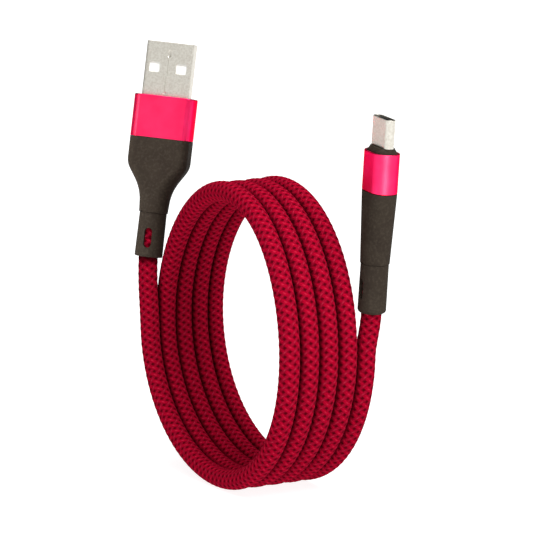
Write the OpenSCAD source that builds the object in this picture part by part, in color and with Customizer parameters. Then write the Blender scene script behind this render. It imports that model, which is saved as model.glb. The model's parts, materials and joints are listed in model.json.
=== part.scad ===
// Braided charging cable wound into an upright round coil, with a USB-A plug
// on one lead and a small USB-C plug on the other. Millimetres, +Z up.
// The coil's axis lies along X. The origin is the middle of the coil's foot,
// on the surface that the coil stands on.

/* [Cord] */
// Outside diameter of the braided cord
cord_d = 4.8; // [4.6:0.1:4.8]

/* [Coil] */
// Inner radius of the coil of cord
coil_r_in = 31.2; // [30.8:0.1:31.4]
// Outer radius of the coil of cord
coil_r_out = 37.4; // [37.2:0.1:37.8]
// Distance from one turn to the next along the coil's axis
coil_pitch = 4.95; // [4.9:0.01:4.98]

/* [Plug bodies] */
// Width of the USB-A collar and of the top of its boot
collar_a_w = 15.2; // [14.6:0.1:16]
// Thickness of the USB-A collar
collar_a_t = 7.9; // [7.6:0.1:8.4]
// Height of the USB-A collar
collar_a_h = 10.5; // [10:0.1:11]
// Width of the USB-C collar and of the top of its boot
collar_c_w = 10.2; // [10:0.1:11]
// Thickness of the USB-C collar
collar_c_t = 6.5; // [6.4:0.1:7]
// Height of the USB-C collar
collar_c_h = 9.3; // [9:0.1:9.8]
// Diameter of the round necks where the boots meet the tail sleeves
neck_d = 7.0; // [6.8:0.1:7.2]
// Width of the flex slot through each tail sleeve
slot_w = 1.9; // [1.4:0.1:2.4]
// Length of the flex slot through each tail sleeve
slot_len = 5; // [3:0.1:6]

/* [Metal shells] */
// Width of the USB-A shell
shell_a_w = 12; // [11.9:0.05:12.1]
// Thickness of the USB-A shell
shell_a_t = 4.5; // [4.4:0.05:4.6]
// Length of USB-A shell that shows above its collar
shell_a_out = 13.4; // [12.5:0.1:14]
// Width of the USB-C shell
shell_c_w = 8.25; // [8.2:0.05:8.3]
// Thickness of the USB-C shell
shell_c_t = 2.4; // [2.35:0.05:2.45]
// Length of USB-C shell that shows above its end cap
shell_c_out = 6.65; // [6.5:0.05:6.8]

/* [Hidden] */

$fn = 64;
hull_fn = 32;
coil_fn = 128;
rod_fn = 24;
cut = 20;                 // reach of a cutting solid past what it cuts
room = 100;               // a box of this size takes in half of the coil
film = 0.01;              // half the thickness of the slices that hulls join

crimson = [0.72, 0.04, 0.16];
anodised = [0.93, 0.10, 0.33];
charcoal = [0.18, 0.16, 0.14];
steel = [0.80, 0.79, 0.75];
white_plastic = [0.93, 0.93, 0.91];
gold = [0.85, 0.68, 0.30];

// Coil: turns lie side by side along X, the first lead goes up on the +Y side
// and the last lead goes up on the -Y side, at the height where they leave it.
coil_centre_z = 36.3;
lead_z = 36;
lead_x = 11.5;            // each lead stands this far from the middle, along X
top_pitches = 3.5;        // from the first lead to the last pass over the top
top_slope = 0.5;          // the last pass drifts this far while it goes over
coil_foot_x = lead_x + cord_d / 2;
coil_top_x = [coil_pitch - coil_foot_x, top_pitches * coil_pitch + top_slope - lead_x + cord_d / 2];

// Where each plug's tail ends, and how the plug leans and is turned there
plug_a_tail = [-11.7, 33.7, 51.9];
plug_a_lean = 8.4;
plug_a_heading = 9.4;
plug_a_turn = -47.9;
plug_c_tail = [12.65, -34.4, 45.5];
plug_c_lean = 6.5;
plug_c_heading = -90;
plug_c_turn = -3.5;

// Routes of the two short leads, from the coil up to the plugs
route_a = [
    [-lead_x, 33.6, lead_z], [-11.6, 33.6, 38.5], [-11.7, 33.65, 41], [-11.8, 33.7, 43.5],
    [-11.85, 33.7, 46], [-11.85, 33.7, 48.5], [-11.8, 33.7, 50.5], plug_a_tail
];
route_c = [
    [lead_x, -33.75, lead_z], [11.65, -33.75, 37.3], [11.9, -33.8, 38.7], [12.15, -33.85, 40.2],
    [12.4, -33.95, 41.7], [12.55, -34.1, 43.2], [12.6, -34.25, 44.4], plug_c_tail
];
tube_sides = 12;

// Heights up each plug, from the end of its tail
sleeve_a_top = 11.1;
boot_a_top = 29.7;
collar_a_top = boot_a_top + collar_a_h;
shell_a_tip = collar_a_top + shell_a_out;
sleeve_c_top = 11.8;
boot_c_top = 28.7;
collar_c_top = boot_c_top + collar_c_h;
end_cap_top = collar_c_top + 1.2;
shell_c_tip = end_cap_top + shell_c_out;

collar_a_corner = 2;
collar_a_roof = 0.9;
collar_c_wall = 0.45;

// Tail sleeves: diameters at the foot and at the top, and the slot's height
sleeve_a_d = [neck_d, neck_d - 0.2];
sleeve_c_d = [neck_d - 0.3, neck_d - 0.4];
slot_a_z = 4.8;
slot_c_z = 5.6;
boot_c_foot_d = neck_d - 0.1;

// Outlines up the USB-A boot: height, width, thickness, corner radius
boot_a_outline = [
    [sleeve_a_top, neck_d + 0.2, neck_d + 0.2, neck_d / 2 + 0.1], [14.7, 7.7, 7.3, 3.6],
    [16.6, 8.6, 7.4, 3.6], [18.5, 10.2, 7.6, 3.4], [20.4, 12.5, 7.8, 3], [22, 14.4, 7.9, 2.4],
    [23.4, collar_a_w, collar_a_t, collar_a_corner],
    [boot_a_top, collar_a_w, collar_a_t, collar_a_corner]
];

// Inner pieces
cord_end_a_top = 24.4;
cord_end_c_top = 22;
crimp_d = 5.9;
crimp_len = 4;
mould_a = [12.6, 5.4, 1.2];       // width, thickness and corner radius
mould_c = [8, 4.6];
mould_gap = 0.2;
channel_a = [9, 2.8, 0.8];
channel_c = [6.8, 2.8];
shell_a_rear = 33;
shell_a_wall = 0.3;
shell_a_corner = 0.7;
shell_a_gap = 0.05;       // around the shell where it leaves its collar
shell_c_rear = 33;
shell_c_wall = 0.25;
end_cap_foot = 36;
plateau_in = [1.8, 1.2];  // how much narrower and thinner the end cap's top is
window = [2.8, 2.6, 0.5];
window_x = 3.4;
window_below_tip = 6.4;
tongue_a_gap = 0.02;      // between the plastic and the shell around it
tongue_a_foot = 33.6;
tongue_a_block_top = 41.5;
tongue_a_below_tip = 0.6;

contact_a_x = [-3.5, -1, 1, 3.5];
contact_a = [1, 0.25];    // width and thickness
contact_a_rear = 31;
contact_a_below_tip = [1.6, 2.6];     // the outer and the inner contacts
wire_a_d = 1;
wire_c_d = 0.9;
wire_foot = 0.77;         // the wires leave the cord this far off its axis, each way

contact_c_slots = [1, 4, 5, 6, 7, 9, 12];
contact_c_mid_slot = 6.5;
contact_c_pitch = 0.5;
contact_c = [0.25, 0.15];
contact_c_rear = 36;
contact_c_front = 45;
cavity_c = [6.9, 1.1];
cavity_c_floor = 38.6;
insulator_c = [33.2, 45.4];
board = [7.4, 0.8];
board_z = [26.5, insulator_c[0]];
latch_c = [0.2, 0.6, 5];
latch_c_in = 0.35;        // from the cavity's end to the middle of each latch
wire_c_x = [-2.7, -0.9, 0.9, 2.7];

// ---- sections and helpers ----

module rounded_rect(w, t, r) {
    square([w - 2 * r, t], center = true);
    square([w, t - 2 * r], center = true);
    for (sx = [-1, 1], sy = [-1, 1])
        translate([sx * (w / 2 - r), sy * (t / 2 - r)]) circle(r = r);
}

module obround(w, t) {
    square([w - t, t], center = true);
    for (s = [-1, 1]) translate([s * (w - t) / 2, 0]) circle(d = t);
}

module rounded_bar(w, t, r, z0, z1)
    translate([0, 0, z0]) linear_extrude(height = z1 - z0) rounded_rect(w, t, r);

module obround_bar(w, t, z0, z1)
    translate([0, 0, z0]) linear_extrude(height = z1 - z0) obround(w, t);

module round_bar(d, z0, z1)
    translate([0, 0, z0]) cylinder(d = d, h = z1 - z0);

// A straight round rod between two points
module rod(a, b, d) {
    v = b - a;
    translate(a) rotate([0, acos(v.z / norm(v)), atan2(v.y, v.x)]) cylinder(d = d, h = norm(v), $fn = rod_fn);
}

// A thin slice with round corners, for hulls
module slice(z, w, t, r)
    for (sx = [-1, 1], sy = [-1, 1])
        translate([sx * (w / 2 - r), sy * (t / 2 - r), z - film]) cylinder(r = r, h = 2 * film, $fn = hull_fn);

module at_plug_a()
    translate(plug_a_tail) rotate([0, plug_a_lean, plug_a_heading]) rotate([0, 0, plug_a_turn]) children();

module at_plug_c()
    translate(plug_c_tail) rotate([0, plug_c_lean, plug_c_heading]) rotate([0, 0, plug_c_turn]) children();

// Direction in which a plug points, from its lean and heading
function pointing(lean, heading) = [sin(lean) * cos(heading), sin(lean) * sin(heading), cos(lean)];

// ---- cord ----

function unit(v) = v / norm(v);

function tangent(route, i, last_dir) =
    i == 0 ? [0, 0, 1] : i == len(route) - 1 ? last_dir : unit(route[i + 1] - route[i - 1]);

// One ring of the tube, square to the route at point i
function ring(route, i, last_dir) =
    let (t = tangent(route, i, last_dir), u = unit(cross([0, 1, 0], t)), w = cross(t, u))
    [for (k = [0:tube_sides - 1])
        route[i] + cord_d / 2 * (u * cos(360 * k / tube_sides) + w * sin(360 * k / tube_sides))];

module tube(route, last_dir) {
    rings = len(route);
    points = [for (i = [0:rings - 1]) each ring(route, i, last_dir)];
    sides = [for (i = [0:rings - 2], k = [0:tube_sides - 1])
        let (n = (k + 1) % tube_sides)
        [i * tube_sides + k, (i + 1) * tube_sides + k, (i + 1) * tube_sides + n, i * tube_sides + n]];
    foot = [for (k = [0:tube_sides - 1]) k];
    head = [for (k = [tube_sides - 1:-1:0]) (rings - 1) * tube_sides + k];
    polyhedron(points, concat(sides, [foot, head]), convexity = 4);
}

module cord_lead_a() color(crimson) tube(route_a, pointing(plug_a_lean, plug_a_heading));

module cord_lead_c() color(crimson) tube(route_c, pointing(plug_c_lean, plug_c_heading));

// Ring of the coil's outer shape, between two places along X
module coil_ring(x0, x1)
    translate([x0, 0, coil_centre_z]) rotate([0, 90, 0]) rotate_extrude($fn = coil_fn)
        translate([(coil_r_in + coil_r_out) / 2, (x1 - x0) / 2])
            rounded_rect(coil_r_out - coil_r_in, x1 - x0, cord_d / 2);

// The lower half holds one more pass of the cord at each side than the upper
// half, and the leads stand on it. It is flat where it rests.
module cord_coil() color(crimson) {
    intersection() {
        coil_ring(-coil_foot_x, coil_foot_x);
        translate([-room / 2, -room / 2, 0]) cube([room, room, lead_z]);
    }
    intersection() {
        coil_ring(coil_top_x[0], coil_top_x[1]);
        translate([-room / 2, -room / 2, lead_z]) cube([room, room, room]);
    }
}

module cord_end_a() color(crimson) at_plug_a() round_bar(cord_d, 0, cord_end_a_top);

module cord_end_c() color(crimson) at_plug_c() round_bar(cord_d, 0, cord_end_c_top);

// ---- pieces that both plugs have ----

module tail_sleeve(top, d, slot_z)
    difference() {
        cylinder(d1 = d[0], d2 = d[1], h = top);
        round_bar(cord_d, -cut, top + cut);
        translate([0, cut / 2, slot_z]) rotate([90, 90, 0]) linear_extrude(height = cut)
            obround(slot_len, slot_w);
    }

module crimp(top)
    difference() {
        round_bar(crimp_d, top - crimp_len, top);
        round_bar(cord_d, -cut, top + cut);
    }

// ---- USB-A plug ----

module window_pair()
    for (s = [-1, 1])
        translate([s * window_x, cut / 2, shell_a_tip - window_below_tip]) rotate([90, 0, 0])
            linear_extrude(height = cut) rounded_rect(window[0], window[1], window[2]);

module usb_a_shell() color(steel) at_plug_a() difference() {
    rounded_bar(shell_a_w, shell_a_t, shell_a_corner, shell_a_rear, shell_a_tip);
    rounded_bar(shell_a_w - 2 * shell_a_wall, shell_a_t - 2 * shell_a_wall, shell_a_corner - shell_a_wall,
        shell_a_rear - cut, shell_a_tip + cut);
    window_pair();
}

module contact_a_strips()
    for (i = [0:3])
        translate([contact_a_x[i] - contact_a[0] / 2, 0, contact_a_rear])
            cube([contact_a[0], contact_a[1],
                shell_a_tip - contact_a_below_tip[i % 3 == 0 ? 0 : 1] - contact_a_rear]);

// Plate along the front wall of the shell, with a full block at its rear
module usb_a_tongue() color(white_plastic) at_plug_a() {
    inset = shell_a_wall + tongue_a_gap;
    w = shell_a_w - 2 * inset;
    t = shell_a_t - 2 * inset;
    difference() {
        union() {
            rounded_bar(w, t, shell_a_corner - inset, tongue_a_foot, tongue_a_block_top);
            intersection() {
                rounded_bar(w, t, shell_a_corner - inset, tongue_a_block_top, shell_a_tip - tongue_a_below_tip);
                translate([-cut, -cut, 0]) cube([2 * cut, cut, room]);
            }
        }
        contact_a_strips();
    }
}

module usb_a_contacts() color(gold) at_plug_a() contact_a_strips();

module wires_a()
    for (i = [0:3])
        rod([wire_foot * (i < 2 ? -1 : 1), wire_foot * (i % 3 == 0 ? -1 : 1), cord_end_a_top],
            [contact_a_x[i], contact_a[1] / 2, contact_a_rear], wire_a_d);

module usb_a_wires() color("seagreen") at_plug_a() wires_a();

module usb_a_crimp() color(steel) at_plug_a() crimp(cord_end_a_top);

// Block with a channel through it for the wires
module usb_a_inner_mould() color("dimgray") at_plug_a() difference() {
    rounded_bar(mould_a[0], mould_a[1], mould_a[2], cord_end_a_top + mould_gap, shell_a_rear - mould_gap);
    rounded_bar(channel_a[0], channel_a[1], channel_a[2], cord_end_a_top - cut, shell_a_rear + cut);
}

// Deep cup: open below, with a slot in its top that the shell comes through
module usb_a_collar() color(anodised) at_plug_a() difference() {
    rounded_bar(collar_a_w, collar_a_t, collar_a_corner, boot_a_top, collar_a_top);
    rounded_bar(mould_a[0], mould_a[1], mould_a[2], boot_a_top - cut, collar_a_top - collar_a_roof);
    rounded_bar(shell_a_w + 2 * shell_a_gap, shell_a_t + 2 * shell_a_gap, shell_a_corner + shell_a_gap,
        boot_a_top, collar_a_top + cut);
}

module usb_a_boot() color(charcoal) at_plug_a() difference() {
    union()
        for (i = [0:len(boot_a_outline) - 2]) {
            low = boot_a_outline[i];
            high = boot_a_outline[i + 1];
            hull() {
                slice(low[0], low[1], low[2], low[3]);
                slice(high[0], high[1], high[2], high[3]);
            }
        }
    round_bar(cord_d, -cut, cord_end_a_top);
    round_bar(crimp_d, cord_end_a_top - crimp_len, cord_end_a_top + mould_gap);
    rounded_bar(mould_a[0], mould_a[1], mould_a[2], cord_end_a_top + mould_gap, boot_a_top + cut);
}

module usb_a_tail_sleeve() color(charcoal) at_plug_a() tail_sleeve(sleeve_a_top, sleeve_a_d, slot_a_z);

// ---- USB-C plug ----

module usb_c_tail_sleeve() color(charcoal) at_plug_c() tail_sleeve(sleeve_c_top, sleeve_c_d, slot_c_z);

module usb_c_boot() color(charcoal) at_plug_c() difference() {
    hull() {
        slice(sleeve_c_top + film, boot_c_foot_d, boot_c_foot_d, boot_c_foot_d / 2);
        slice(boot_c_top - film, collar_c_w, collar_c_t, collar_c_t / 2);
    }
    round_bar(cord_d, -cut, cord_end_c_top);
    round_bar(crimp_d, cord_end_c_top - crimp_len, cord_end_c_top + mould_gap);
    obround_bar(mould_c[0], mould_c[1], cord_end_c_top + mould_gap, boot_c_top + cut);
}

module usb_c_collar() color(anodised) at_plug_c() difference() {
    obround_bar(collar_c_w, collar_c_t, boot_c_top, collar_c_top);
    obround_bar(collar_c_w - 2 * collar_c_wall, collar_c_t - 2 * collar_c_wall,
        boot_c_top - cut, collar_c_top + cut);
}

// Fills the collar's mouth and rises above it as a low plateau
module usb_c_end_cap() color(charcoal) at_plug_c() difference() {
    mouth_w = collar_c_w - 2 * collar_c_wall;
    mouth_t = collar_c_t - 2 * collar_c_wall;
    union() {
        obround_bar(mouth_w, mouth_t, end_cap_foot, collar_c_top);
        hull() {
            slice(collar_c_top + film, mouth_w, mouth_t, mouth_t / 2);
            slice(end_cap_top - film, mouth_w - plateau_in[0], mouth_t - plateau_in[1],
                (mouth_t - plateau_in[1]) / 2);
        }
    }
    obround_bar(shell_c_w, shell_c_t, end_cap_foot - cut, end_cap_top + cut);
}

module usb_c_shell() color(steel) at_plug_c() difference() {
    obround_bar(shell_c_w, shell_c_t, shell_c_rear, shell_c_tip);
    obround_bar(shell_c_w - 2 * shell_c_wall, shell_c_t - 2 * shell_c_wall,
        shell_c_rear - cut, shell_c_tip + cut);
}

module contact_c_springs()
    for (side = [-1, 1], i = contact_c_slots)
        translate([(i - contact_c_mid_slot) * contact_c_pitch, side * (cavity_c[1] - contact_c[1]) / 2,
            (contact_c_rear + contact_c_front) / 2])
            cube([contact_c[0], contact_c[1], contact_c_front - contact_c_rear], center = true);

module usb_c_insulator() color(charcoal) at_plug_c() difference() {
    obround_bar(shell_c_w - 2 * shell_c_wall, shell_c_t - 2 * shell_c_wall, insulator_c[0], insulator_c[1]);
    obround_bar(cavity_c[0], cavity_c[1], cavity_c_floor, insulator_c[1] + cut);
    contact_c_springs();
}

module usb_c_contacts() color(gold) at_plug_c() contact_c_springs();

// Spring plates at the two ends of the mating cavity
module usb_c_latches() color(steel) at_plug_c()
    for (s = [-1, 1])
        translate([s * (cavity_c[0] / 2 - latch_c_in), 0, cavity_c_floor + latch_c[2] / 2])
            cube(latch_c, center = true);

module board_blank()
    translate([-board[0] / 2, -board[1] / 2, board_z[0]]) cube([board[0], board[1], board_z[1] - board_z[0]]);

module usb_c_board() color("darkgreen") at_plug_c() board_blank();

module wires_c()
    for (i = [0:3])
        rod([wire_foot * (i < 2 ? -1 : 1), wire_foot * (i % 3 == 0 ? -1 : 1), cord_end_c_top],
            [wire_c_x[i], 0, board_z[0]], wire_c_d);

module usb_c_wires() color("seagreen") at_plug_c() wires_c();

module usb_c_crimp() color(steel) at_plug_c() crimp(cord_end_c_top);

// Block with a channel for the wires and a slot that holds the board
module usb_c_inner_mould() color("dimgray") at_plug_c() difference() {
    obround_bar(mould_c[0], mould_c[1], cord_end_c_top + mould_gap, shell_c_rear - mould_gap);
    obround_bar(channel_c[0], channel_c[1], cord_end_c_top - cut, board_z[0]);
    board_blank();
}

usb_a_shell();
usb_a_tongue();
usb_a_contacts();
usb_a_wires();
usb_a_crimp();
usb_a_inner_mould();
usb_a_collar();
usb_a_boot();
usb_a_tail_sleeve();
cord_end_a();
cord_lead_a();
cord_coil();
cord_lead_c();
cord_end_c();
usb_c_tail_sleeve();
usb_c_boot();
usb_c_collar();
usb_c_end_cap();
usb_c_shell();
usb_c_insulator();
usb_c_contacts();
usb_c_latches();
usb_c_board();
usb_c_wires();
usb_c_crimp();
usb_c_inner_mould();
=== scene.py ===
import json
import math

import bmesh
import bpy
import numpy as np
from mathutils import Matrix, Vector


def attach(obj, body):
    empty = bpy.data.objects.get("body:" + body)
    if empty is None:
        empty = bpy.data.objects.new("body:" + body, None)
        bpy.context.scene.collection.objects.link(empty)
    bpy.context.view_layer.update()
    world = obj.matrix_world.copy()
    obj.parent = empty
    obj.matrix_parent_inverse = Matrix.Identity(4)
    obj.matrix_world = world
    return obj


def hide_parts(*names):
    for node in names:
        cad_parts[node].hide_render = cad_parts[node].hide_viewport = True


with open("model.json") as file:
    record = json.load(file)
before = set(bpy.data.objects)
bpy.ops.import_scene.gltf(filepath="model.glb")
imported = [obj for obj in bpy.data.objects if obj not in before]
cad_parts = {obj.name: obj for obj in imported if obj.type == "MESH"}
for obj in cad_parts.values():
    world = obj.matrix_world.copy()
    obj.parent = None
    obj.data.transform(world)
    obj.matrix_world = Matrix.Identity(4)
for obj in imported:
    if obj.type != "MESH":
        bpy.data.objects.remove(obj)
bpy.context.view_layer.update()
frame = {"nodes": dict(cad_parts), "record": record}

MM = 0.001
mounts = {m["name"]: m for m in frame["record"]["mounts"]}


# ---- camera, floor and lights ----

VIEW_AZIMUTH = math.radians(-28.5)
VIEW_ELEVATION = math.radians(8)
VIEW_DISTANCE = 0.615
VIEW_TARGET = Vector((0.00324, -0.00071, 0.05263))
LENS = 172.3
SENSOR_WIDTH = 36
LAMP_AWAY = 1             # a sun lamp shines the same from any distance
STREAK_COLOUR = (1, 1, 0.28)      # of the two lamps that draw a light streak on each collar
WORLD_GLOW = 0.06
FLOOR_HALF = 12
FLOOR_GLOW = 0.92
FLOOR_SHADE = (0.3, 0.3, 0.3, 1)
WHITE = (1, 1, 1, 1)


def toward(azimuth, elevation):
    flat = math.cos(elevation)
    return Vector((math.sin(azimuth) * flat, -math.cos(azimuth) * flat, math.sin(elevation)))


def aim(thing, azimuth, elevation, distance, target):
    """Puts a camera or a lamp that far from the target, on that side of it, and turns it to the target."""
    out = toward(azimuth, elevation)
    thing.location = target + out * distance
    thing.rotation_mode = "QUATERNION"
    thing.rotation_quaternion = (-out).to_track_quat("-Z", "Y")
    bpy.context.scene.collection.objects.link(thing)


def make_camera():
    data = bpy.data.cameras.new("camera")
    data.lens = LENS
    data.sensor_width = SENSOR_WIDTH
    data.clip_start = 0.01
    data.clip_end = 100
    camera = bpy.data.objects.new("camera", data)
    aim(camera, VIEW_AZIMUTH, VIEW_ELEVATION, VIEW_DISTANCE, VIEW_TARGET)
    bpy.context.scene.camera = camera


def make_lamp(name, azimuth, elevation, strength, softness, colour=(1, 1, 1)):
    """A distant soft lamp, which lights the whole table evenly. Its angles and softness are in degrees."""
    data = bpy.data.lights.new(name, "SUN")
    data.color = colour
    data.angle = math.radians(softness)
    data.energy = strength
    lamp = bpy.data.objects.new(name, data)
    aim(lamp, math.radians(azimuth), math.radians(elevation), LAMP_AWAY, VIEW_TARGET)


def link_lamp(name, pieces, state):
    """Makes a lamp light these pieces only (INCLUDE), or all but these (EXCLUDE)."""
    group = bpy.data.collections.new(name)
    bpy.data.objects[name].light_linking.receiver_collection = group
    for piece in pieces:
        group.objects.link(bpy.data.objects[piece])
    for member in group.collection_objects:
        member.light_linking.link_state = state


def link_lamps():
    """Plug A's rubber has the front left lamp in place of the front one, so that its right side falls dark.

    Each collar has a streak lamp of its own.
    """
    rubber = ("tail_sleeve_a", "boot_a")
    link_lamp("front", rubber, "EXCLUDE")
    link_lamp("front_left", rubber, "INCLUDE")
    for letter in "ac":
        link_lamp(f"collar_{letter}_streak", (f"collar_{letter}",), "INCLUDE")


def make_studio():
    """The soft lamps: angles are in degrees, counted as in toward()."""
    world = bpy.data.worlds.new("studio")
    bpy.context.scene.world = world
    world.use_nodes = True
    background = world.node_tree.nodes["Background"]
    background.inputs["Color"].default_value = WHITE
    background.inputs["Strength"].default_value = WORLD_GLOW
    make_lamp("front", azimuth=2, elevation=46, strength=2.8, softness=32)
    make_lamp("front_left", azimuth=-84, elevation=28, strength=2.8, softness=30)
    make_lamp("left", azimuth=-60, elevation=15, strength=0.08, softness=60)
    make_lamp("face", azimuth=-48, elevation=5, strength=0.13, softness=24)
    make_lamp("streak", azimuth=-91, elevation=5, strength=0.12, softness=12)
    make_lamp("collar_a_streak", azimuth=-79, elevation=6, strength=1.0, softness=8, colour=STREAK_COLOUR)
    make_lamp("collar_c_streak", azimuth=-21, elevation=2, strength=10, softness=10, colour=STREAK_COLOUR)
    make_lamp("top", azimuth=-20, elevation=80, strength=2.1, softness=60)
    bpy.context.scene.view_settings.view_transform = "Standard"


# ---- materials ----

def srgb(red, green, blue):
    """A screen colour, 0 to 255, as Blender's linear one."""
    parts = [c / 255 for c in (red, green, blue)]
    return [c / 12.92 if c <= 0.04045 else ((c + 0.055) / 1.055) ** 2.4 for c in parts] + [1]


class Surface:
    """A material with a Principled shader, and short names for adding nodes to it.

    A setting's name is its socket's, with an underscore for each space.
    """

    def __init__(self, name, **settings):
        self.material = bpy.data.materials.new(name)
        self.material.use_nodes = True
        self.tree = self.material.node_tree
        self.shader = self.tree.nodes["Principled BSDF"]
        for socket, value in settings.items():
            self.shader.inputs[socket.replace("_", " ")].default_value = value
        self.position = None

    def node(self, kind, settings=None, **inputs):
        made = self.tree.nodes.new("ShaderNode" + kind)
        for name, value in (settings or {}).items():
            setattr(made, name, value)
        for socket, value in inputs.items():
            self.feed(made.inputs[socket.replace("_", " ")], value)
        return made

    def feed(self, socket, value):
        if isinstance(value, bpy.types.NodeSocket):
            self.tree.links.new(value, socket)
        else:
            socket.default_value = value

    def math(self, operation, *values):
        made = self.tree.nodes.new("ShaderNodeMath")
        made.operation = operation
        for socket, value in zip(made.inputs, values):
            self.feed(socket, value)
        return made.outputs[0]

    def where(self):
        """Place on the object, in the row frame."""
        if self.position is None:
            self.position = self.node("TexCoord").outputs["Object"]
        return self.position

    def mapped(self, uv_map):
        """Place on the mesh's own map of that name."""
        return self.node("UVMap", {"uv_map": uv_map}).outputs[0]

    def noise(self, size_mm, detail=2.0):
        """Noise from 0 to 1 whose lumps are about this size."""
        return self.node(
            "TexNoise", Vector=self.where(), Scale=1 / (size_mm * MM), Detail=detail).outputs["Fac"]

    def ramp(self, value, low, high, out_low=0.0, out_high=1.0):
        """Passes smoothly from one output to the other as the value goes from low to high."""
        made = self.node("MapRange", {"interpolation_type": "SMOOTHSTEP"}, Value=value)
        limits = {"From Min": low, "From Max": high, "To Min": out_low, "To Max": out_high}
        for socket, number in limits.items():
            made.inputs[socket].default_value = number
        return made.outputs[0]

    def mix(self, share, first, second):
        """The first colour, with that share of the second."""
        made = self.tree.nodes.new("ShaderNodeMix")
        made.data_type = "RGBA"
        for socket, value in zip((made.inputs[0], made.inputs[6], made.inputs[7]), (share, first, second)):
            self.feed(socket, value)
        return made.outputs[2]

    def colour(self, value):
        self.feed(self.shader.inputs["Base Color"], value)

    def roughness(self, value):
        self.feed(self.shader.inputs["Roughness"], value)

    def bump(self, height, depth_mm, strength=1.0):
        made = self.node("Bump", Height=height, Distance=depth_mm * MM, Strength=strength)
        self.feed(self.shader.inputs["Normal"], made.outputs[0])


def mottled(name, light, dark, patch_mm, rough, grain_mm, grain_depth_mm, metallic=0.0):
    """A finish that varies gently between two colours, with a fine grain."""
    made = Surface(name, Metallic=metallic)
    patches = made.noise(patch_mm, 3)
    grain = made.noise(grain_mm, 2)
    made.colour(made.mix(made.ramp(patches, 0.3, 0.7), dark, light))
    made.roughness(made.ramp(grain, 0.25, 0.75, rough - 0.06, rough + 0.08))
    made.bump(grain, grain_depth_mm)
    return made.material


BRAID_DOT = srgb(82, 4, 16)
BRAID_RED = srgb(178, 8, 42)
BRAID_DULL = srgb(160, 14, 43)
# painted shade in the creases between yarn bands and strands, also the darker tone of uneven fibres
BRAID_CREASE_SHADE_AND_FIBRE = srgb(60, 0, 8)
# painted highlight on the tops of the yarn bands
BRAID_PAINTED_HIGHLIGHT = srgb(208, 58, 84)
BRAID_SHADE = srgb(44, 0, 6)
COLUMNS = 12              # tracer dots around the cord
COLUMN_STEPS = (7, 5)     # yarn bands that cross the cord's whole girth, each way
STRANDS = 4               # yarn strands side by side in a band
BAND_TOP = 0.775          # mean height of the middle of a band, of 1
BAND_SWING = 0.225        # how far a band rises and dips as it passes over and under
FIBRE_MM = 0.35


def braid_material():
    """Red yarn bands that cross in a lattice, with a dark tracer dot in each gap of it."""
    made = Surface(
        "braid", Specular_IOR_Level=0.0,
        Sheen_Weight=0.08, Sheen_Roughness=0.3, Sheen_Tint=srgb(255, 90, 120))
    place = made.node("SeparateXYZ", Vector=made.mapped("braid"))
    along, column = place.outputs[0], place.outputs[1]
    one = made.math("SUBTRACT", made.math("MULTIPLY", column, COLUMN_STEPS[0] / COLUMNS), along)
    two = made.math("ADD", made.math("MULTIPLY", column, COLUMN_STEPS[1] / COLUMNS), along)
    to_one = made.math("PINGPONG", one, 0.5)
    to_two = made.math("PINGPONG", two, 0.5)
    swing = made.math(
        "MULTIPLY", made.math("SINE", made.math("MULTIPLY", one, math.pi)),
        made.math("SINE", made.math("MULTIPLY", two, math.pi)))
    over = made.math("MULTIPLY_ADD", swing, BAND_SWING, BAND_TOP)
    under = made.math("MULTIPLY_ADD", swing, -BAND_SWING, BAND_TOP)
    band_one = made.math("MULTIPLY", made.ramp(to_one, 0, 0.5), over)
    band_two = made.math("MULTIPLY", made.ramp(to_two, 0, 0.5), under)
    first_on_top = made.ramp(made.math("SUBTRACT", band_one, band_two), -0.05, 0.05)
    height = made.math("MAXIMUM", band_one, band_two)
    yarns = made.mix(
        first_on_top,
        made.math("SINE", made.math("MULTIPLY", two, STRANDS * 2 * math.pi)),
        made.math("SINE", made.math("MULTIPLY", one, STRANDS * 2 * math.pi)))
    strands = made.node("SeparateColor", Color=yarns).outputs[0]
    dot = made.ramp(made.math("MAXIMUM", to_one, to_two), 0.12, 0.22, 1, 0)
    fibre = made.noise(FIBRE_MM, 3)
    red = made.mix(first_on_top, BRAID_RED, BRAID_DULL)
    # Painted shade between the bands and between their strands, darker on uneven fibres, and a painted
    # highlight on the bands' tops.
    red = made.mix(made.ramp(height, 0.15, 0.7, 0.55, 0), red, BRAID_CREASE_SHADE_AND_FIBRE)
    red = made.mix(made.ramp(strands, -1, 0.2, 0.34, 0), red, BRAID_CREASE_SHADE_AND_FIBRE)
    red = made.mix(made.ramp(height, 0.88, 1.0, 0, 0.4), red, BRAID_PAINTED_HIGHLIGHT)
    red = made.mix(made.ramp(fibre, 0.35, 0.75, 0.22, 0), red, BRAID_CREASE_SHADE_AND_FIBRE)
    red = made.mix(dot, red, BRAID_DOT)
    # Painted shade, darker again where the next turn lies close.
    near = made.node("SeparateXYZ", Vector=made.mapped("touch")).outputs[0]
    made.colour(made.mix(made.ramp(near, 0.1, 1.0, 0, 0.9), red, BRAID_SHADE))
    made.roughness(made.ramp(fibre, 0.3, 0.7, 0.66, 0.86))
    relief = made.math("MULTIPLY_ADD", strands, 0.18, height)
    made.bump(made.math("MULTIPLY_ADD", fibre, 0.3, relief), 0.12, 0.8)
    return made.material


def collar_material():
    """Anodised aluminium with a fine blasted grain."""
    made = Surface("anodised_collar", Metallic=1.0, Specular_Tint=srgb(255, 60, 120))
    blasted = made.noise(0.09, 2)
    drift = made.noise(5, 2)
    made.colour(made.mix(made.ramp(drift, 0.3, 0.7), srgb(252, 40, 100), srgb(254, 50, 112)))
    made.roughness(made.ramp(blasted, 0.3, 0.7, 0.34, 0.46))
    made.bump(blasted, 0.012)
    return made.material


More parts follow.
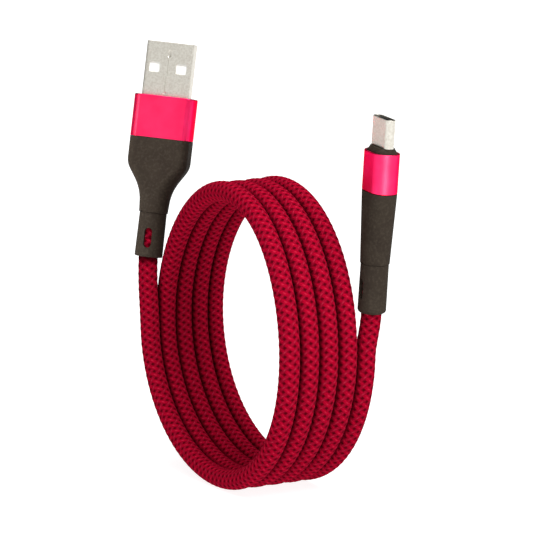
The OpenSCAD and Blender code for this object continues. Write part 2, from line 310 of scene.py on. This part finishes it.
def boot_material():
    """Matt rubber: slow patches of two browns, with fine paler specks."""
    made = Surface("boot_rubber", Specular_IOR_Level=0.01)
    patches = made.noise(4, 3)
    specks = made.noise(0.6, 3)
    grain = made.noise(0.16, 2)
    brown = made.mix(made.ramp(patches, 0.3, 0.7), srgb(52, 45, 39), srgb(57, 50, 43))
    made.colour(made.mix(made.ramp(specks, 0.42, 0.76, 0, 0.3), brown, srgb(84, 76, 66)))
    made.roughness(made.ramp(grain, 0.25, 0.75, 0.48, 0.62))
    made.bump(grain, 0.02)
    return made.material


def shell_material():
    """Satin plated steel, slightly clouded."""
    made = Surface("shell_steel", Metallic=1.0)
    grain = made.noise(0.12, 4)
    cloud = made.noise(0.5, 4)
    made.colour(made.mix(made.ramp(cloud, 0.3, 0.7), srgb(212, 207, 195), srgb(228, 225, 215)))
    made.roughness(made.ramp(grain, 0.25, 0.75, 0.34, 0.48))
    made.bump(grain, 0.01)
    return made.material


MOTTLED = {               # light, dark, patch size, roughness, grain size and depth, metallic
    "white_plastic": (srgb(244, 244, 240), srgb(232, 232, 226), 2, 0.45, 0.2, 0.01),
    "black_plastic": (srgb(40, 40, 42), srgb(28, 28, 30), 1.5, 0.5, 0.15, 0.01),
    "inner_plastic": (srgb(128, 128, 126), srgb(108, 108, 106), 2, 0.55, 0.25, 0.02),
    "contact_gold": (srgb(226, 190, 104), srgb(206, 166, 82), 0.8, 0.28, 0.1, 0.005, 1.0),
    "wire_insulation": (srgb(56, 140, 84), srgb(40, 116, 66), 1, 0.45, 0.3, 0.01),
    "crimp_metal": (srgb(196, 194, 188), srgb(160, 158, 152), 0.9, 0.35, 0.12, 0.01, 1.0),
    "circuit_board": (srgb(22, 104, 58), srgb(14, 78, 42), 1, 0.35, 0.3, 0.01),
}


def make_materials():
    made = {
        "braid": braid_material(),
        "anodised_collar": collar_material(),
        "boot_rubber": boot_material(),
        "shell_steel": shell_material(),
    }
    for name, finish in MOTTLED.items():
        made[name] = mottled(name, *finish)
    return made


# ---- cord ----

CORD_D = 0.0048
TURN_PITCH = 0.00495
TURN_RADIUS = 0.0339
TURN_GROWTH = 0.0002      # each turn is this much wider than the last
TURN_DEGREES = 1618       # from the first lead to the second
DEGREES_APART = 10
POINTS_PER_SPAN = 12
OUT_OF_ROUND = 0.0004     # each turn has three slight corners
TURN_LEAN = 0.00016       # each turn's sides stand this much further off along X than the last's
TURN_SHIFT = 0.0003       # each turn lies this much further towards +Y than the last
FIRST_SHIFT = 0.0007      # the first turn's middle lies this far towards -Y
COIL_LIFT = 0.00209       # the turns' middles stand this much above their radius
FIRST_CREST = 0.0009      # the first top stands this much higher still, and each later one less
CREST_FADE = 0.8          # how fast that fades, for each turn
ROUTE_A = [               # from the coil up to each plug
    (-0.0115, 0.0336, 0.036), (-0.0116, 0.0336, 0.0385), (-0.0117, 0.03365, 0.041),
    (-0.0118, 0.0337, 0.0435), (-0.01185, 0.0337, 0.046), (-0.01185, 0.0337, 0.0485),
    (-0.0118, 0.0337, 0.0505), (-0.0117, 0.0337, 0.0519),
]
ROUTE_C = [
    (0.0115, -0.03375, 0.036), (0.01165, -0.03375, 0.0373), (0.0119, -0.0338, 0.0387),
    (0.01215, -0.03385, 0.0402), (0.0124, -0.03395, 0.0417), (0.01255, -0.0341, 0.0432),
    (0.0126, -0.03425, 0.0444), (0.01265, -0.0344, 0.0455),
]


def coil_point(degrees):
    """The cord's middle, that far round the coil: its turns grow a little and are not quite round."""
    a, n = math.radians(degrees), degrees / 360
    wobble = OUT_OF_ROUND * (math.cos(3 * a) + math.sin(3 * a))
    radius = TURN_RADIUS + TURN_GROWTH * n + wobble
    first_top = 0.75
    stands_up = FIRST_CREST * math.exp(CREST_FADE * (first_top - n)) * max(0, -math.sin(a))**2
    return (
        TURN_PITCH * n - TURN_LEAN * n * math.cos(a) + ROUTE_A[0][0],
        radius * math.cos(a) + TURN_SHIFT * n - FIRST_SHIFT,
        TURN_RADIUS + TURN_GROWTH * n + COIL_LIFT - radius * math.sin(a) + stands_up,
    )


def curve_through(points, per_span):
    """Points along a smooth curve through these ones."""
    p = np.array(points, float)
    p = np.vstack([2 * p[0] - p[1], p, 2 * p[-1] - p[-2]])
    gaps = np.sqrt(np.linalg.norm(np.diff(p, axis=0), axis=1))
    out = []
    for k in range(1, len(p) - 2):
        before, here, after = gaps[k - 1:k + 2]
        leave = (
            (p[k] - p[k - 1]) / before - (p[k + 1] - p[k - 1]) / (before + here)
            + (p[k + 1] - p[k]) / here)
        reach = (
            (p[k + 1] - p[k]) / here - (p[k + 2] - p[k]) / (here + after)
            + (p[k + 2] - p[k + 1]) / after)
        t = np.linspace(0, 1, per_span, endpoint=False)[:, None]
        out.append(
            (2 * t**3 - 3 * t**2 + 1) * p[k] + (t**3 - 2 * t**2 + t) * here * leave
            + (-2 * t**3 + 3 * t**2) * p[k + 1] + (t**3 - t**2) * here * reach)
    return np.vstack(out + [p[-2:-1]])


def cord_line():
    """The cord's middle from plug A down, round all the turns and up to plug C."""
    turns = [coil_point(d) for d in range(DEGREES_APART, TURN_DEGREES, DEGREES_APART)]
    return curve_through(ROUTE_A[::-1] + turns + ROUTE_C, POINTS_PER_SPAN)


def lengths_along(line):
    """How far along the line each of its points lies."""
    return np.concatenate([[0], np.cumsum(np.linalg.norm(np.diff(line, axis=0), axis=1))])


def carried_frames(line):
    """The line's tangents, and a side direction at each point that never twists round the line."""
    tangent = np.gradient(line, axis=0)
    tangent /= np.linalg.norm(tangent, axis=1)[:, None]
    side = np.cross(tangent[0], (0, 1, 0))
    sides = []
    for t in tangent:
        side = side - t * (side @ t)
        side /= np.linalg.norm(side)
        sides.append(side)
    return tangent, np.array(sides)


REPEAT = 0.00197          # from one tracer dot to the next along the cord
CELL_STEPS = 4            # mesh steps along each side of a lattice cell
RELIEF = 0.00015          # from the top of a yarn band to the bottom of a crease
GAP_FLOOR = 0.3           # height of the gaps between bands, of 1
PROUD = 0.00005           # how far the highest yarn stands outside the cord's own radius
SAME_TURN = 0.02          # parts of the cord nearer than this along it are not neighbours
CREASE_REACH = 0.0016     # the braid carries painted shade where the next turn lies nearer than this


def weave_height(one, two):
    """How high the braid stands there, from 0 to 1, over the lattice of its two sets of yarn bands."""
    swing = BAND_SWING * np.sin(np.pi * one) * np.sin(np.pi * two)
    first = 1 - (2 * np.abs(one % 1 - 0.5)) ** 2
    second = 1 - (2 * np.abs(two % 1 - 0.5)) ** 2
    return np.maximum(np.maximum(first * (BAND_TOP + swing), second * (BAND_TOP - swing)), GAP_FLOOR)


def nearness(points, length, line, along):
    """How near the next turn lies to each point on the cord: 1 where they touch, 0 where it is clear."""
    apart = np.linalg.norm(line[:, None] - line[None], axis=2)
    apart[np.abs(along[:, None] - along[None]) < SAME_TURN] = 1
    near = np.zeros(length.shape)
    for side in (-1, 1):
        on_that_side = side * (line[None, :, 0] - line[:, None, 0]) > 0
        neighbour = line[np.where(on_that_side, apart, 1).argmin(axis=1)]
        centre = np.stack([np.interp(length, along, neighbour[:, axis]) for axis in range(3)], axis=-1)
        gap = np.linalg.norm(points - centre, axis=-1) - CORD_D / 2
        near = np.maximum(near, 1 - gap / CREASE_REACH)
    return near


def braided_tube(name, line):
    """A woven tube along a line. Its mesh edges follow the yarns, so that the relief is crisp."""
    along = lengths_along(line)
    tangent, side = carried_frames(line)
    around = COLUMNS * CELL_STEPS
    rise, fall = COLUMN_STEPS
    rows = int(along[-1] / REPEAT * CELL_STEPS) - 1
    k, n = np.meshgrid(np.arange(around), np.arange(rows), indexing="ij")
    first_row = np.floor(rise * k / COLUMNS).astype(int)
    repeats = rise * k / around - (first_row - n) / CELL_STEPS
    one = rise * k / around - repeats
    two = fall * k / around + repeats
    length = repeats / repeats.max() * along[-1]
    radius = CORD_D / 2 + PROUD - RELIEF * (1 - weave_height(one, two))
    turn = 2 * np.pi * k / around
    centre, t, u = (
        np.stack([np.interp(length, along, source[:, axis]) for axis in range(3)], axis=-1)
        for source in (line, tangent, side))
    w = np.cross(t, u)
    points = centre + radius[..., None] * (np.cos(turn)[..., None] * u + np.sin(turn)[..., None] * w)

    def corner(steps, back):
        column = k + steps
        return column, n + np.floor(rise * column / COLUMNS).astype(int) - first_row - back

    corners = [corner(0, 0), corner(1, 1), corner(2, 1), corner(1, 0)]
    whole = np.all([(row >= 0) & (row < rows) for _, row in corners], axis=0)
    faces = np.stack([(column % around * rows + row)[whole] for column, row in corners], axis=-1)
    mesh = bpy.data.meshes.new(name)
    mesh.from_pydata(points.reshape(-1, 3).tolist(), [], faces.tolist())
    marks = []
    for column, row in corners:
        lengthwise = rise * column / around - (np.floor(rise * column / COLUMNS) - row) / CELL_STEPS
        marks.append(np.stack([lengthwise[whole], (column / CELL_STEPS)[whole]], axis=-1))
    mesh.uv_layers.new(name="braid").data.foreach_set("uv", np.stack(marks, axis=1).ravel())
    # how near the next turn lies, stored in the touch map for the braid's painted shade
    near = nearness(points, length, line, along)
    touches = [np.stack([near[column[whole] % around, row[whole]]] * 2, axis=-1) for column, row in corners]
    mesh.uv_layers.new(name="touch").data.foreach_set("uv", np.stack(touches, axis=1).ravel())
    cap_ends(mesh)
    return show(name, mesh, "braid")


def cap_ends(mesh):
    """Closes a tube's two open ends."""
    made = bmesh.new()
    made.from_mesh(mesh)
    bmesh.ops.holes_fill(made, edges=[e for e in made.edges if e.is_boundary])
    bmesh.ops.recalc_face_normals(made, faces=made.faces)
    made.to_mesh(mesh)
    made.free()


# ---- pieces ----

def show(name, mesh, finish):
    """Puts a mesh in the scene as a piece that rides on the root body, in that material slot's finish."""
    piece = bpy.data.objects.new(name, mesh)
    bpy.context.scene.collection.objects.link(piece)
    mesh.materials.clear()
    mesh.materials.append(materials[finish])
    mesh.polygons.foreach_set("use_smooth", [True] * len(mesh.polygons))
    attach(piece, "root")
    return piece


def outline(width, depth, corner, steps=8):
    """Points round a rectangle with round corners, as many whatever its size."""
    points = []
    for quarter, (sx, sy) in enumerate(((1, 1), (-1, 1), (-1, -1), (1, -1))):
        for k in range(steps + 1):
            a = math.pi / 2 * (quarter + k / steps)
            points.append((
                sx * (width / 2 - corner) + corner * math.cos(a),
                sy * (depth / 2 - corner) + corner * math.sin(a)))
    return points


def edge(height, width, depth, corner, radius, side=1, end=1, steps=4):
    """Sections of a rounded edge, from the wall to the end face.

    Side -1 is for an inner wall and end -1 for the bottom.
    """
    made = []
    for k in range(steps + 1):
        a = math.pi / 2 * k / steps
        inset = side * radius * (1 - math.cos(a))
        made.append((
            height - end * radius * (1 - math.sin(a)), width - 2 * inset, depth - 2 * inset, corner - inset))
    return made


def shrunk(size, by, by_depth=None):
    """A width, depth and corner with that much less on each side."""
    width, depth, corner = size
    by_depth = by if by_depth is None else by_depth
    return (width - 2 * by, depth - 2 * by_depth, corner - by_depth)


def hollow_sections(low, high, wall, radius):
    """A tube's sections: up its outside, over the rim, down its inside."""
    inner_low = (low[0], *shrunk(low[1:], wall))
    inner_high = (high[0], *shrunk(high[1:], wall))
    return (
        edge(*low, radius, end=-1)[::-1] + edge(*high, radius)
        + edge(*inner_high, radius, side=-1)[::-1] + edge(*inner_low, radius, side=-1, end=-1))


def skin(place, sections, hollow=False):
    """A mesh over sections that are stacked up a plug's axis: each has a height, width, depth and corner."""
    made = bmesh.new()
    rings = [
        [made.verts.new(place @ (Vector((x, y, height)) * MM)) for x, y in outline(width, depth, corner)]
        for height, width, depth, corner in sections]
    for low, high in zip(rings, rings[1:] + rings[:1] if hollow else rings[1:]):
        for k in range(len(low)):
            made.faces.new((low[k - 1], low[k], high[k], high[k - 1]))
    if not hollow:
        made.faces.new(rings[0][::-1])
        made.faces.new(rings[-1])
    bmesh.ops.remove_doubles(made, verts=made.verts, dist=0.001 * MM)
    bmesh.ops.recalc_face_normals(made, faces=made.faces)
    mesh = bpy.data.meshes.new("skin")
    made.to_mesh(mesh)
    made.free()
    return mesh


def moulded(name, node, finish, mesh):
    """A piece with that mesh, in place of a CAD node."""
    piece = show(name, mesh, finish)
    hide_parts(node)
    return piece


def level_shading(piece):
    """Keeps flat faces flat beside their rounded edges."""
    piece.modifiers.new("level_shading", "WEIGHTED_NORMAL").keep_sharp = True


def carve(piece, *cutters):
    """Cuts these meshes out of a piece, for good."""
    for mesh in cutters:
        tool = bpy.data.objects.new("cutter", mesh)
        bpy.context.scene.collection.objects.link(tool)
        cut = piece.modifiers.new("cut", "BOOLEAN")
        cut.object = tool
        graph = bpy.context.evaluated_depsgraph_get()
        result = bpy.data.meshes.new_from_object(piece.evaluated_get(graph))
        piece.modifiers.remove(cut)
        piece.data = result
        bpy.data.objects.remove(tool)


def across(place, height, x=0.0, y=0.0):
    """A frame on a plug, whose own z axis runs through the plug's thickness and whose y axis points up it."""
    return place @ Matrix.Translation(Vector((x, y, height)) * MM) @ Matrix.Rotation(math.pi / 2, 4, "X")


def opening(place, height, x, width, length, corner, reach):
    """A cutter through the plug's thickness, to that reach each way."""
    return skin(across(place, height, x), [(-reach, width, length, corner), (reach, width, length, corner)])


def groove(place, y, start, end, width):
    """A thin cutter along a line on a plug's flat face, between two (x, height) points."""
    dx, dz = end[0] - start[0], end[1] - start[1]
    middle = across(place, (start[1] + end[1]) / 2, (start[0] + end[0]) / 2, y)
    turned = middle @ Matrix.Rotation(math.atan2(dz, dx), 4, "Z")
    size = (math.hypot(dx, dz), width, width * 0.49)
    return skin(turned, [(-width, *size), (width, *size)])


def dent(place, height, x, y, size):
    """A round-bottomed cutter, an egg of that size in x, thickness and height."""
    made = bmesh.new()
    bmesh.ops.create_uvsphere(made, u_segments=24, v_segments=16, radius=0.5 * MM)
    there = place @ Matrix.Translation(Vector((x, y, height)) * MM)
    bmesh.ops.transform(made, verts=made.verts, matrix=there @ Matrix.Diagonal((*size, 1)))
    mesh = bpy.data.meshes.new("dent")
    made.to_mesh(mesh)
    made.free()
    return mesh


def eased(sections, step=0.3, reach=1.5):
    """Closely spaced sections that pass smoothly between these ones."""
    given = np.array(sections, float)
    heights = np.arange(given[0, 0], given[-1, 0] + step / 2, step)
    around = np.linspace(-reach / 2, reach / 2, 9)
    columns = [
        np.mean([np.interp(heights + shift, given[:, 0], given[:, k]) for shift in around], axis=0)
        for k in (1, 2, 3)]
    return [tuple(float(v) for v in row) for row in zip(heights, *columns)]


def plug_place(tail, mount, turn):
    """The frame of a plug from the end of its tail, the direction of its mount, and its turn about that."""
    axis = Vector(mounts[mount]["axis"]).normalized()
    return (
        Matrix.Translation(tail) @ Matrix.Rotation(math.atan2(axis.y, axis.x), 4, "Z")
        @ Matrix.Rotation(math.acos(axis.z), 4, "Y") @ Matrix.Rotation(math.radians(turn), 4, "Z"))


# ---- floor ----

def make_floor():
    """A pale table that also gives off light, so that it comes out white."""
    mesh = bpy.data.meshes.new("floor")
    h = FLOOR_HALF
    mesh.from_pydata([(-h, -h, 0), (h, -h, 0), (h, h, 0), (-h, h, 0)], [], [(0, 1, 2, 3)])
    floor = bpy.data.objects.new("floor", mesh)
    bpy.context.scene.collection.objects.link(floor)
    white = Surface(
        "lit_white_table", Base_Color=FLOOR_SHADE, Roughness=0.8,
        Emission_Color=WHITE, Emission_Strength=FLOOR_GLOW)
    white.bump(white.noise(3), 0.02)
    mesh.materials.append(white.material)


# ---- the cord in its plugs ----

INTO_SLEEVE = 0.0007      # how far the free cord's braid runs into each tail sleeve
BRAID_IN_A = 0.0244       # how far the cord itself runs up each plug
BRAID_IN_C = 0.022


def up_axis(place, start, end):
    """Points up a plug's axis, between two distances from its tail."""
    return [place @ Vector((0, 0, h)) for h in np.linspace(start, end, 12)]


def make_cord():
    """The woven cord along its whole route, and its two ends inside the plugs."""
    inside_a = [place_a @ Vector((0, 0, INTO_SLEEVE))]
    inside_c = [place_c @ Vector((0, 0, INTO_SLEEVE))]
    line = np.vstack([inside_a, cord_line(), inside_c])
    cord = braided_tube("braided_cord", line)
    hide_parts("cord_lead_a", "cord_coil", "cord_lead_c")
    for letter, place, top in (("a", place_a, BRAID_IN_A), ("c", place_c, BRAID_IN_C)):
        end = braided_tube("braid_inside_plug_" + letter, np.array(up_axis(place, INTO_SLEEVE, top)))
        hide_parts("cord_end_" + letter)
    return cord, line


# ---- USB-A plug ----

SLEEVE_A_TOP, BOOT_A_TOP, COLLAR_A_TOP = 11.1, 29.7, 40.2
SHELL_A_REAR, SHELL_A_TIP = 33.0, 53.6
COLLAR_A = (15.2, 7.9, 2.0)       # width, depth, corner
SHELL_A = (12.0, 4.5, 0.7)
SHELL_A_WALL = 0.3
BOOT_A_OUTLINE = [
    (SLEEVE_A_TOP, 7.2, 7.2, 3.6), (14.7, 7.7, 7.3, 3.6), (16.6, 8.6, 7.4, 3.6), (18.5, 10.2, 7.6, 3.4),
    (20.4, 12.5, 7.8, 3.0), (22.0, 14.4, 7.9, 2.4), (23.4, *COLLAR_A), (BOOT_A_TOP, *COLLAR_A),
]
SLOT = (1.9, 5.0, 0.95)           # width, length, corner
SLOT_A_HEIGHT, SLOT_C_HEIGHT = 4.8, 5.6
SLEEVE_BORE = 4.96
BORE_FLARE = 0.25                 # the bore is this much wider all round at its mouth
PARTING = 0.03                    # gap between a sleeve and the boot above it
NICK = (1.6, 1.6, 0.5)            # width, depth, height
WINDOW = (2.8, 2.6, 0.5)          # width, length, corner
WINDOW_X, WINDOW_BELOW_TIP = 3.4, 6.4
SHELL_A_GAP = 0.05                # between the shell and the slot that it comes out of
COLLAR_A_LIFT = 0.02              # gap between the boot and the collar above it
COLLAR_A_ROOF = 0.9
COLLAR_A_SIDES = (1.3, 1.25)      # how thick its walls are across its width and its depth
COLLAR_A_HOLLOW_CORNER = 1.2
SEAM_WIDTH = 0.17
SEAM = [                          # lines on the shell's front, each between two (x, height) points
    ((0, SHELL_A_TIP + 1), (0, SHELL_A_TIP - 8.4)),
    ((0.1, SHELL_A_TIP - 8.6), (1.5, SHELL_A_TIP - 7.3)),
    ((-0.25, SHELL_A_TIP - 8.4), (-0.25, COLLAR_A_TOP - 1)),
]
DENT_OUT = 0.02                   # the middle of a dent stands this far outside the shell
DENTS = [                         # height, x, size
    (SHELL_A_TIP - 2.8, 0, (1.0, 0.36, 2.2)),
    (COLLAR_A_TOP + 0.7, -0.1, (0.8, 0.3, 0.5)),
]


def sleeve(letter, place, low_d, high_d, top, slot_height, foot_radius):
    """The tube at the end of a plug's tail, with a flex slot through it and a diameter for each end."""
    bore, mouth = SLEEVE_BORE, SLEEVE_BORE + 2 * BORE_FLARE
    sections = (
        edge(0, low_d, low_d, low_d / 2, foot_radius, end=-1)[::-1]
        + edge(top, high_d, high_d, high_d / 2, radius=0.12)
        + [(top, bore, bore, bore / 2), (0.3, bore, bore, bore / 2), (0, mouth, mouth, mouth / 2)])
    tube = skin(place, sections, hollow=True)
    piece = moulded(f"tail_sleeve_{letter}", f"usb_{letter}_tail_sleeve", "boot_rubber", tube)
    carve(piece, opening(place, slot_height, 0, *SLOT, reach=low_d))
    level_shading(piece)
    return piece


def boot(letter, place, sections, foot, head, nick):
    """A moulded grip with rounded ends, and a short nick at (x, y) where it meets the sleeve."""
    low, high = sections[0], sections[-1]
    between = [s for s in sections if low[0] + foot < s[0] < high[0] - head]
    grip = skin(place, edge(*low, foot, end=-1)[::-1] + between + edge(*high, head))
    piece = moulded(f"boot_{letter}", f"usb_{letter}_boot", "boot_rubber", grip)
    carve(piece, dent(place, low[0], *nick, NICK))
    level_shading(piece)
    return piece


def shell_a():
    """Folded steel with two windows through it, and a stepped seam and two dents on its front."""
    low, high = (SHELL_A_REAR, *SHELL_A), (SHELL_A_TIP, *SHELL_A)
    sections = hollow_sections(low, high, SHELL_A_WALL, radius=0.07)
    piece = moulded("shell_a", "usb_a_shell", "shell_steel", skin(place_a, sections, hollow=True))
    windows = [
        opening(place_a, SHELL_A_TIP - WINDOW_BELOW_TIP, x, *WINDOW, reach=4) for x in (-WINDOW_X, WINDOW_X)]
    face = -SHELL_A[1] / 2
    grooves = [groove(place_a, face, start, end, SEAM_WIDTH) for start, end in SEAM]
    dents = [dent(place_a, height, x, face - DENT_OUT, size) for height, x, size in DENTS]
    carve(piece, *windows, *grooves, *dents)
    level_shading(piece)


def collar_a():
    """A sleeve with a roof, which the shell comes out of through a slot."""
    slot = shrunk(SHELL_A, -SHELL_A_GAP)
    hollow = (*shrunk(COLLAR_A, *COLLAR_A_SIDES)[:2], COLLAR_A_HOLLOW_CORNER)
    low, under_roof = BOOT_A_TOP + COLLAR_A_LIFT, COLLAR_A_TOP - COLLAR_A_ROOF
    sections = (
        edge(low, *COLLAR_A, radius=0.07, end=-1)[::-1] + edge(COLLAR_A_TOP, *COLLAR_A, radius=0.28)
        + edge(COLLAR_A_TOP, *slot, radius=0.12, side=-1)[::-1] + [(under_roof, *slot)]
        + [(under_roof, *hollow), (low, *hollow)])
    collar = skin(place_a, sections, hollow=True)
    level_shading(moulded("collar_a", "usb_a_collar", "anodised_collar", collar))


def make_plug_a():
    sleeve("a", place_a, 7.0, 6.8, SLEEVE_A_TOP - PARTING, SLOT_A_HEIGHT, foot_radius=0.35)
    boot("a", place_a, eased(BOOT_A_OUTLINE), foot=0.09, head=0.12, nick=(-2.5, -2.4))
    collar_a()
    shell_a()


# ---- USB-C plug ----

SLEEVE_C_TOP, BOOT_C_TOP, COLLAR_C_TOP = 11.8, 28.7, 38.0
END_CAP_FOOT, END_CAP_TOP = 36.0, 39.2
SHELL_C_REAR, SHELL_C_TIP = 33.0, 45.85
COLLAR_C = (10.2, 6.5, 3.25)
COLLAR_C_WALL = 0.45
COLLAR_C_LIFT = 0.04              # gap between the boot and the collar above it
SHELL_C = (8.25, 2.4, 1.2)
SHELL_C_WALL = 0.25
BOOT_C_OUTLINE = [(SLEEVE_C_TOP, 6.9, 6.9, 3.45), (BOOT_C_TOP, *COLLAR_C)]
END_CAP_GAP = 0.02                # between the end cap and the collar round it
SHELL_C_GAP = 0.03
PLATEAU_IN = (0.9, 0.6)           # how far in its top stands, across its width and its depth


def end_cap():
    """Fills the collar's mouth and rises above it as a low plateau round the shell."""
    mouth = shrunk(COLLAR_C, COLLAR_C_WALL + END_CAP_GAP)
    plateau = shrunk(mouth, *PLATEAU_IN)
    slot = shrunk(SHELL_C, -SHELL_C_GAP)
    sections = (
        [(END_CAP_FOOT, *mouth), (COLLAR_C_TOP - 0.12, *mouth)] + edge(END_CAP_TOP, *plateau, radius=0.3)
        + [(END_CAP_TOP, *slot), (END_CAP_FOOT, *slot)])
    level_shading(moulded("end_cap_c", "usb_c_end_cap", "boot_rubber", skin(place_c, sections, hollow=True)))


def make_plug_c():
    sleeve("c", place_c, 6.7, 6.6, SLEEVE_C_TOP - PARTING, SLOT_C_HEIGHT, foot_radius=0.8)
    boot("c", place_c, eased(BOOT_C_OUTLINE, reach=0.6), foot=0.09, head=0.12, nick=(0.1, -3.4))
    low, high = (BOOT_C_TOP + COLLAR_C_LIFT, *COLLAR_C), (COLLAR_C_TOP, *COLLAR_C)
    collar = skin(place_c, hollow_sections(low, high, COLLAR_C_WALL, radius=0.14), hollow=True)
    level_shading(moulded("collar_c", "usb_c_collar", "anodised_collar", collar))
    end_cap()
    low, high = (SHELL_C_REAR, *SHELL_C), (SHELL_C_TIP, *SHELL_C)
    shell = skin(place_c, hollow_sections(low, high, SHELL_C_WALL, radius=0.08), hollow=True)
    level_shading(moulded("shell_c", "usb_c_shell", "shell_steel", shell))


# ---- CAD nodes that show as they are ----

CAD_FINISHES = {
    "usb_a_tongue": "white_plastic", "usb_a_contacts": "contact_gold", "usb_a_wires": "wire_insulation",
    "usb_a_crimp": "crimp_metal", "usb_a_inner_mould": "inner_plastic", "usb_c_insulator": "black_plastic",
    "usb_c_contacts": "contact_gold", "usb_c_latches": "crimp_metal", "usb_c_board": "circuit_board",
    "usb_c_wires": "wire_insulation", "usb_c_crimp": "crimp_metal", "usb_c_inner_mould": "inner_plastic",
}


def dress_cad_nodes():
    """Gives each CAD node that stays in sight its material."""
    for node, finish in CAD_FINISHES.items():
        mesh = frame["nodes"][node].data
        mesh.materials.clear()
        mesh.materials.append(materials[finish])


PLUG_A_TURN, PLUG_C_TURN = -47.9, -3.5
materials = make_materials()
place_a = plug_place(ROUTE_A[-1], "usb_a_plug", PLUG_A_TURN)
place_c = plug_place(ROUTE_C[-1], "usb_c_plug", PLUG_C_TURN)
make_camera()
make_studio()
make_floor()
cord, line = make_cord()
make_plug_a()
make_plug_c()
dress_cad_nodes()
link_lamps()
